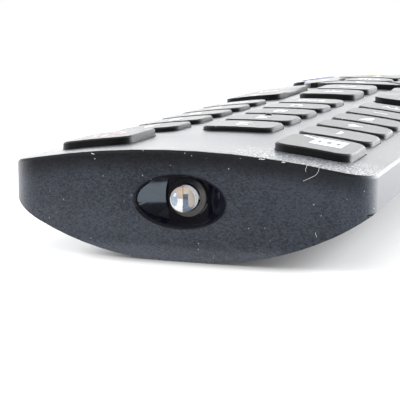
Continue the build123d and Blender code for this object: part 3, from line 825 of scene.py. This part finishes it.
for y, radius in outline:
    tip = bmesh.ops.extrude_vert_indiv(turned, verts=[tip])["verts"][0]
    tip.co = (0, y, axisZ + radius)
bmesh.ops.spin(turned, geom=turned.verts[:] + turned.edges[:], cent=(0, 0, axisZ), axis=(0, 1, 0),
               angle=math.radians(360), steps=lamp["turnSteps"], use_merge=True)
bmesh.ops.remove_doubles(turned, verts=turned.verts, dist=lamp["weld"])
bmesh.ops.recalc_face_normals(turned, faces=turned.faces)
lampMesh = meshFrom(turned)
lampMesh.shade_smooth()
lampMesh.set_sharp_from_angle(angle=math.radians(lamp["crease"]))
lampBody = addPiece("lamp_body", lampMesh, finishes["lamp_clear"], "housing")
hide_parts("infrared_lamp")
lampBody.visible_glossy = False
print("lamp", len(lampMesh.polygons))


# the window surround again, with crisp flat ramps that run straight up its scoop
low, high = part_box("window_surround")
window = {
    "rim": 0.1 * mm,
    "dishDepth": 3.0 * mm,
    "floorHalf": 2.6 * mm,
    "hole": 1.72 * mm,
    "holeSides": 72,
    "collar": 2.55 * mm,
    "collarHeight": 0.5 * mm,
    "collarStep": 0.12 * mm,
    "spare": 1.0 * mm,
}


def ovalBar(radiusX, radiusZ, start, end, z, segments=128):
    bar = bmesh.new()
    lying = Matrix.Rotation(math.radians(90), 4, "X")
    place = Matrix.Translation((0, (start + end) / 2, z)) @ lying
    place = place @ Matrix.Diagonal((radiusX, radiusZ, end - start, 1))
    bmesh.ops.create_cone(bar, cap_ends=True, segments=segments, radius1=1.0, radius2=1.0,
                          depth=1.0, matrix=place)
    return bar


def asObject(name, build):
    return placed(name, meshFrom(build))


def joined(base, steps):
    # works out the base with each cutter in turn, and removes the cutters
    for step, (operation, cutter) in enumerate(steps):
        cut = base.modifiers.new("cut" + str(step), "BOOLEAN")
        cut.operation = operation
        cut.object = cutter
        cut.solver = "EXACT"
    mesh = bakedMesh(base)
    for operation, cutter in steps:
        bpy.data.objects.remove(cutter)
    return mesh


# cutters run past what they cut by the spare length
spare, middleZ = window["spare"], lip["middle"]
reachX, reachZ = lip["x"], lip["z"]
dishFront = low.y - window["rim"]
dishFloor = low.y + window["dishDepth"]
trough = bmesh.new()
corner = trough.verts.new((-reachX, dishFront, low.z - spare))
for x, y in ((-reachX, low.y), (-window["floorHalf"], dishFloor), (window["floorHalf"], dishFloor),
             (reachX, low.y), (reachX, dishFront)):
    corner = bmesh.ops.extrude_vert_indiv(trough, verts=[corner])["verts"][0]
    corner.co = (x, y, low.z - spare)
bmesh.ops.contextual_create(trough, geom=trough.verts[:])
raised = bmesh.ops.extrude_face_region(trough, geom=trough.faces[:])
bmesh.ops.translate(trough, verts=cornersIn(raised["geom"]), vec=(0, 0, high.z - low.z + 2 * spare))
bmesh.ops.recalc_face_normals(trough, faces=trough.faces)
innerX, innerZ = reachX - window["rim"], reachZ - window["rim"]
inner = asObject("inner", ovalBar(innerX, innerZ, dishFront - spare, high.y, middleZ))
scoop = placed("scoop", joined(asObject("trough", trough), [("INTERSECT", inner)]))
collarStart, collarEnd = dishFloor - window["collarHeight"], dishFloor + spare / 2
collarBar = ovalBar(window["collar"], window["collar"], collarStart, collarEnd, axisZ)
frontRing = [edge for edge in collarBar.edges if all(vert.co.y < dishFloor for vert in edge.verts)]
# a profile of 0 leaves a small square step round the collar's front edge
bmesh.ops.bevel(collarBar, geom=frontRing, offset=window["collarStep"], segments=3, affect="EDGES",
                profile=0.0, material=-1)
holeBar = ovalBar(window["hole"], window["hole"], low.y - spare, high.y + spare, axisZ,
                  window["holeSides"])
windowMesh = joined(asObject("blank", ovalBar(reachX, reachZ, low.y, high.y, middleZ)), [
    ("DIFFERENCE", scoop),
    ("UNION", asObject("collar", collarBar)),
    ("DIFFERENCE", asObject("hole", holeBar)),
])
glossy = finishes["window_plastic"]
windowPiece = addPiece("window_oval", windowMesh, glossy, "housing")
soften(windowPiece)
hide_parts("window_surround")
print("window", len(windowMesh.polygons))


# a stand-in for what shows through the lamp's nose: two thin half discs that glow with painted
# reflections, though they are no lamp
face = {
    "x": -0.5 * mm,
    "z": -0.24 * mm,
    "radius": 1.38 * mm,
    "sides": 48,
    "depth": 2.62 * mm,
    "thick": 0.05 * mm,
    "gap": 0.035 * mm,
    "fleck": 0.22 * mm,
    "wander": 0.06 * mm,
    "middleWander": 0.04 * mm,
    "split": (-0.01 * mm, 0.01 * mm),
    "middle": (0.01 * mm, 0.03 * mm),
    "top": (0.22 * mm, 0.25 * mm),
    "right": (0.24 * mm, 0.27 * mm),
    "left": (-0.16 * mm, -0.2 * mm),
    "rings": (0.37 * mm, 0.4 * mm),
    "ringRate": 13000.0,
    "ringCut": (-0.4, 0.4),
    "lowerLeft": colour(0.8, 0.8, 0.78),
    "upperLeft": colour(0.46, 0.36, 0.27),
    "farLeft": colour(0.3, 0.37, 0.47),
    "lowerRight": colour(0.1, 0.14, 0.2),
    "upperRight": colour(0.025, 0.045, 0.085),
    "topRight": colour(0.5, 0.4, 0.3),
    "farRight": colour(0.38, 0.33, 0.28),
    "darkRing": colour(0.1, 0.095, 0.1),
    "paleRing": colour(0.75, 0.76, 0.78),
    "base": (colour(0.05, 0.05, 0.055), colour(0.09, 0.09, 0.095)),
    "rough": 0.3,
    "roughSwing": 0.2,
    "glow": 1.2,
}


def faceFinish():
    finish = newFinish("lampReflectionGlow")
    at = finish.place()
    across = finish.axis(at, "X") - face["x"]
    upward = finish.axis(at, "Z") - (axisZ + face["z"])
    fleck = finish.noise(at, face["fleck"], 2.0)
    wander = fleck * face["wander"]
    upper = finish.ramp(upward + fleck * face["middleWander"], *face["middle"])
    left = finish.blend(upper, face["lowerLeft"], face["upperLeft"])
    left = finish.blend(finish.ramp(across + wander, *face["left"]), left, face["farLeft"])
    right = finish.blend(upper, face["lowerRight"], face["upperRight"])
    right = finish.blend(finish.ramp(upward + wander, *face["top"]), right, face["topRight"])
    right = finish.blend(finish.ramp(across + wander, *face["right"]), right, face["farRight"])
    halves = finish.blend(finish.ramp(across, *face["split"]), left, right)
    offset = finish.node("CombineXYZ", {}, {"X": across, "Y": upward, "Z": 0.0})
    fromMiddle = finish.node("VectorMath", {"operation": "LENGTH"}, {0: offset}, 1)
    wave = finish.node("Math", {"operation": "SINE"}, {0: fromMiddle * face["ringRate"] + fleck})
    rings = finish.blend(finish.ramp(wave, *face["ringCut"]), face["darkRing"], face["paleRing"])
    return setShader(finish, {
        "Base Color": finish.blend(fleck, *face["base"]),
        "Roughness": fleck * face["roughSwing"] + face["rough"],
        "Emission Color": finish.blend(finish.ramp(fromMiddle, *face["rings"]), halves, rings),
        "Emission Strength": face["glow"],
    })


plates = bmesh.new()
for side in (-1, 1):
    half = ovalBar(face["radius"], face["radius"], 0, face["thick"], 0, face["sides"])
    cutX = face["x"] + side * face["gap"] / 2
    found = half.verts[:] + half.edges[:] + half.faces[:]
    bmesh.ops.bisect_plane(half, geom=found, plane_co=(cutX, 0, 0), plane_no=(side, 0, 0),
                           clear_inner=True)
    bmesh.ops.holes_fill(half, edges=half.edges)
    bmesh.ops.translate(half, verts=half.verts, vec=(0, frontY + face["depth"], axisZ))
    plates.from_mesh(meshFrom(half))
lampGlowPlates = addPiece("lamp_glow_plates", meshFrom(plates), faceFinish(), "housing")
lampGlowPlates.visible_glossy = False
print("lamp face")


def wireMesh(points, radius, sides, order, capped=False):
    # round wire along a smooth curve between the points
    curve = bpy.data.curves.new("wire", "CURVE")
    curve.dimensions = "3D"
    curve.bevel_depth = radius
    curve.bevel_resolution = sides
    curve.use_fill_caps = capped
    spline = curve.splines.new("NURBS")
    spline.points.add(len(points) - 1)
    for point, place in zip(spline.points, points):
        point.co = (*place, 1)
    spline.order_u = order
    spline.use_endpoint_u = True
    return bakedMesh(placed("wire", curve))


# the cone springs as round wire
spring = {"wire": 0.25 * mm, "wide": 3.5 * mm, "narrow": 2.0 * mm, "turns": 4.0, "stepsPerTurn": 20}


def coneSpring(name, node, widestFirst):
    low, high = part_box(node)
    x, z = (low.x + high.x) / 2, (low.z + high.z) / 2
    start, end = low.y + spring["wire"], high.y - spring["wire"]
    if not widestFirst:
        start, end = end, start
    count = int(spring["turns"] * spring["stepsPerTurn"])
    points = []
    for step in range(count + 1):
        share = step / count
        radius = spring["wide"] + (spring["narrow"] - spring["wide"]) * share
        angle = 2 * math.pi * spring["turns"] * share
        y = start + (end - start) * share
        points.append((x + radius * math.cos(angle), y, z + radius * math.sin(angle)))
    mesh = wireMesh(points, spring["wire"], sides=4, order=4, capped=True)
    mesh.shade_smooth()
    piece = addPiece(name, mesh, finishes["spring_wire"], "housing")
    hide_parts(node)


coneSpring("front_spring_wire", "front_spring", True)
coneSpring("tail_spring_wire", "tail_spring", False)
print("springs")


# lint on the end wall: four points in x and z for each thread, in millimetres
lint = {
    "threads": [
        ((15.8, 12.7), (15.85, 12.5), (15.6, 12.2), (15.75, 11.9)),
        ((17.3, 12.5), (17.25, 11.8), (16.4, 11.25), (15.4, 10.8)),
        ((17.0, 4.75), (17.0, 4.55), (17.1, 4.4), (17.15, 4.2)),
    ],
    "fluff": [
        ((10.0, 13.12), (10.2, 13.25), (10.4, 13.1), (10.7, 13.18)),
        ((12.8, 12.86), (12.9, 12.98), (13.05, 12.86), (13.2, 12.9)),
        ((-11.6, 12.95), (-11.5, 12.85), (-11.4, 12.9), (-11.2, 12.82)),
    ],
    "radius": {"threads": 0.02 * mm, "fluff": 0.045 * mm},
    "ahead": 0.01 * mm,
}
lintRows = [(kind, row) for kind in ("threads", "fluff") for row in lint[kind]]
for place, (kind, row) in enumerate(lintRows):
    points = [(x * mm, frontY - lint["ahead"], z * mm) for x, z in row]
    mesh = wireMesh(points, lint["radius"][kind], sides=1, order=3)
    addPiece("lint_" + str(place), mesh, whiteInk, "housing")


# cover: a moulded arrow that shows which way it slides
coverArrow = {"radius": 2.0, "fromEdge": 20.5}
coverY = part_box("battery_cover")[0].y / mm + coverArrow["fromEdge"]
addMark("cover_arrow", lambda sheet: addTriangle(sheet, coverArrow["radius"]), "battery_cover",
        0.0, coverY, finishes["shell_plastic"], turn=0, up=False)
print("small marks")


# floor: pale, lifted a little to the camera and white to gloss, with the object's own shadow on it
stage = {
    "size": 6.0,
    "tone": 0.8,
    "fibreTone": 0.76,
    "lift": 0.3,
    "shine": 3.33,  # times the lift this is 1, the white that gloss sees
    "tipAhead": (-3.2 * mm, 0.5 * mm),
    "tipBehind": (20 * mm, 60 * mm),
    "tipMiddle": 2 * mm,
    "tipAsideSquared": (0.00004, 0.0003),
    "tipTone": colour(0.2, 0.19, 0.18),
    "tipShare": 0.55,
    "tipDimming": 0.9,
    "fibre": 0.6 * mm,
    "fibreShare": 0.1,
    "rough": 0.7,
    "roughSwing": 0.1,
    "specular": 0.2,
}
floorMesh = bmesh.new()
bmesh.ops.create_grid(floorMesh, x_segments=1, y_segments=1, size=stage["size"] / 2)
floor = placed("floor", meshFrom(floorMesh))
floorFinish = newFinish("floorPaper")
at = floorFinish.place()
fibre = floorFinish.noise(at, stage["fibre"], 3.0)
path = floorFinish.node("LightPath", {}, {}, "Is Camera Ray")
shine = floorFinish.node("LightPath", {}, {}, "Is Glossy Ray")
# a painted dim patch where the belly all but touches the paper
sideways = floorFinish.axis(at, "X") - stage["tipMiddle"]
along = floorFinish.axis(at, "Y")
nearTip = floorFinish.ramp(along, *fromFront(stage["tipAhead"]))
nearTip = nearTip * floorFinish.ramp(along, *fromFront(stage["tipBehind"]), 1.0, 0.0)
nearTip = nearTip * floorFinish.ramp(sideways * sideways, *stage["tipAsideSquared"], 1.0, 0.0)
paper = grey(stage["tone"]), grey(stage["fibreTone"])
paper = floorFinish.blend(fibre * stage["fibreShare"], *paper)
glow = floorFinish.blend(nearTip * stage["tipDimming"], grey(1.0), grey(0.0))
glow = floorFinish.blend(path, grey(0.0), glow)
setShader(floorFinish, {
    "Base Color": floorFinish.blend(nearTip * stage["tipShare"], paper, stage["tipTone"]),
    "Roughness": fibre * stage["roughSwing"] + stage["rough"],
    "Specular IOR Level": stage["specular"],
    "Emission Color": floorFinish.blend(shine, glow, grey(stage["shine"])),
    "Emission Strength": stage["lift"],
})
floor.data.materials.append(floorFinish.material)


# cards that only gloss sees, which put painted reflections into the gloss: x, y, width, length and
# turn of each sheet
felt = {"size": 2 * mm, "deep": 0.7, "rough": 0.9}
cards = {
    "dark_card": {
        "sheets": [
            (0.02, -0.44, 1.4, 0.65, 0),
            (0.365, -0.105, 0.67, 0.02, 0),
            (0.0168, -0.1092, 0.0215, 0.0105, 0),
            (-0.006, -0.1055, 0.024, 0.0035, 0),
        ],
        "height": 1.5 * mm, "tone": colour(0.03, 0.025, 0.024), "glow": 0.3,
    },
    "half_card": {
        "sheets": [(-0.006, -0.1095, 0.024, 0.011, 0)],
        "height": 1.2 * mm, "tone": colour(0.85, 0.92, 1.0), "glow": 1.0,
    },
    "pale_strip": {
        "sheets": [(0.032, -0.1147, 0.0195, 0.07, -21)],
        "height": 2 * mm, "tone": colour(0.72, 0.86, 1.0), "glow": 0.78,
    },
}


def addCard(name, sheets, height, tone, glow):
    sheet = bmesh.new()
    for x, y, width, length, turn in sheets:
        place = Matrix.Translation((x, y, height)) @ Matrix.Rotation(math.radians(turn), 4, "Z")
        bmesh.ops.create_grid(sheet, x_segments=1, y_segments=1, size=0.5,
                              matrix=place @ Matrix.Diagonal((width, length, 1, 1)))
    card = placed(name, meshFrom(sheet))
    finish = newFinish(name + "Felt")
    nap = finish.noise(finish.place(), felt["size"], 2.0)
    setShader(finish, {
        "Base Color": finish.blend(nap, tone, changed(tone, felt["deep"])),
        "Roughness": felt["rough"],
        "Emission Color": tone,
        "Emission Strength": glow,
    })
    card.data.materials.append(finish.material)
    for sense in ("visible_camera", "visible_diffuse", "visible_shadow", "visible_transmission"):
        setattr(card, sense, False)


for name, card in cards.items():
    addCard(name, **card)


# world: white to the camera and through the lamp; gloss sees it white behind and dim in front
sky = {
    "front": 0.95,
    "fill": 1.0,
    "turn": (-0.35, 0.35),
    "rise": 0.9,
    "mirrorFront": colour(0.15, 0.13, 0.125),
    "mirrorBehind": colour(0.98, 0.99, 1.0),
}
world = bpy.data.worlds.new("studio")
bpy.context.scene.world = world
world.use_nodes = True
air = Finish(world.node_tree)
direction = air.node("TexCoord", {}, {}, "Generated")
behind = air.axis(direction, "Y") + air.axis(direction, "Z") * sky["rise"]
behind = air.ramp(behind, *sky["turn"])
mirrored = air.blend(behind, sky["mirrorFront"], sky["mirrorBehind"])
spread = air.blend(behind, grey(sky["front"]), grey(sky["fill"]))
rays = air.node("LightPath", {}, {}, "Is Camera Ray")
rays = air.ramp(rays + air.node("LightPath", {}, {}, "Is Transmission Ray"), 0.0, 1.0)
gloss = air.node("LightPath", {}, {}, "Is Glossy Ray")
tint = air.blend(rays, air.blend(gloss, spread, mirrored), grey(1.0))
background = world.node_tree.nodes["Background"]
air.feed(background.inputs["Color"], tint)
air.feed(background.inputs["Strength"], 1.0)


# soft lamps: size, place, aim and power in watts
softboxes = {
    "back_light": ((1.2, 0.5), (-0.28, 0.95, 0.42), (0, 0, 0), 2.6),
    "low_back_light": ((1.3, 0.4), (-0.35, 1.1, 0.2), (0, 0, 0), 5.5),
    "right_light": ((0.8, 0.4), (0.75, 1.0, 0.2), (0, 0, 0), 22.0),
    "far_left_light": ((0.6, 0.4), (-0.95, 0.4, 0.2), (0, 0, 0), 5.0),
    "left_light": ((0.4, 0.3), (-0.6, -0.25, 0.3), (-0.02, -0.1, 0), 2.5),
}


def addSoftbox(name, size, place, target, power):
    light = bpy.data.lights.new(name, "AREA")
    light.shape = "RECTANGLE"
    light.size, light.size_y = size
    light.energy = power
    softbox = placed(name, light)
    softbox.location = place
    aim = (Vector(target) - Vector(place)).to_track_quat("-Z", "Y")
    softbox.rotation_euler = aim.to_euler()


for name, settings in softboxes.items():
    addSoftbox(name, *settings)


# camera: the photograph's place and angle, from the fit to its edges
view = {
    "place": (0.0503, -0.2440, 0.0327),
    "yaw": 0.325,
    "pitch": 0.165,
    "roll": 0.002,
    "lens": 112.5,
    "sensor": 36.0,
    "clip": (0.01, 20.0),
}
cameraData = bpy.data.cameras.new("photo_camera")
cameraData.lens = view["lens"]
cameraData.sensor_width = view["sensor"]
cameraData.clip_start, cameraData.clip_end = view["clip"]
camera = placed("photo_camera", cameraData)
level = math.cos(view["pitch"])
forward = Vector((-math.sin(view["yaw"]) * level, math.cos(view["yaw"]) * level,
                  -math.sin(view["pitch"])))
aim = forward.to_track_quat("-Z", "Y").to_matrix().to_4x4()
roll = Matrix.Rotation(view["roll"], 4, "Z")
camera.matrix_world = Matrix.Translation(view["place"]) @ aim @ roll
bpy.context.scene.camera = camera
bpy.context.scene.view_settings.view_transform = "Standard"
print("stage and camera")

bpy.context.view_layer.update()
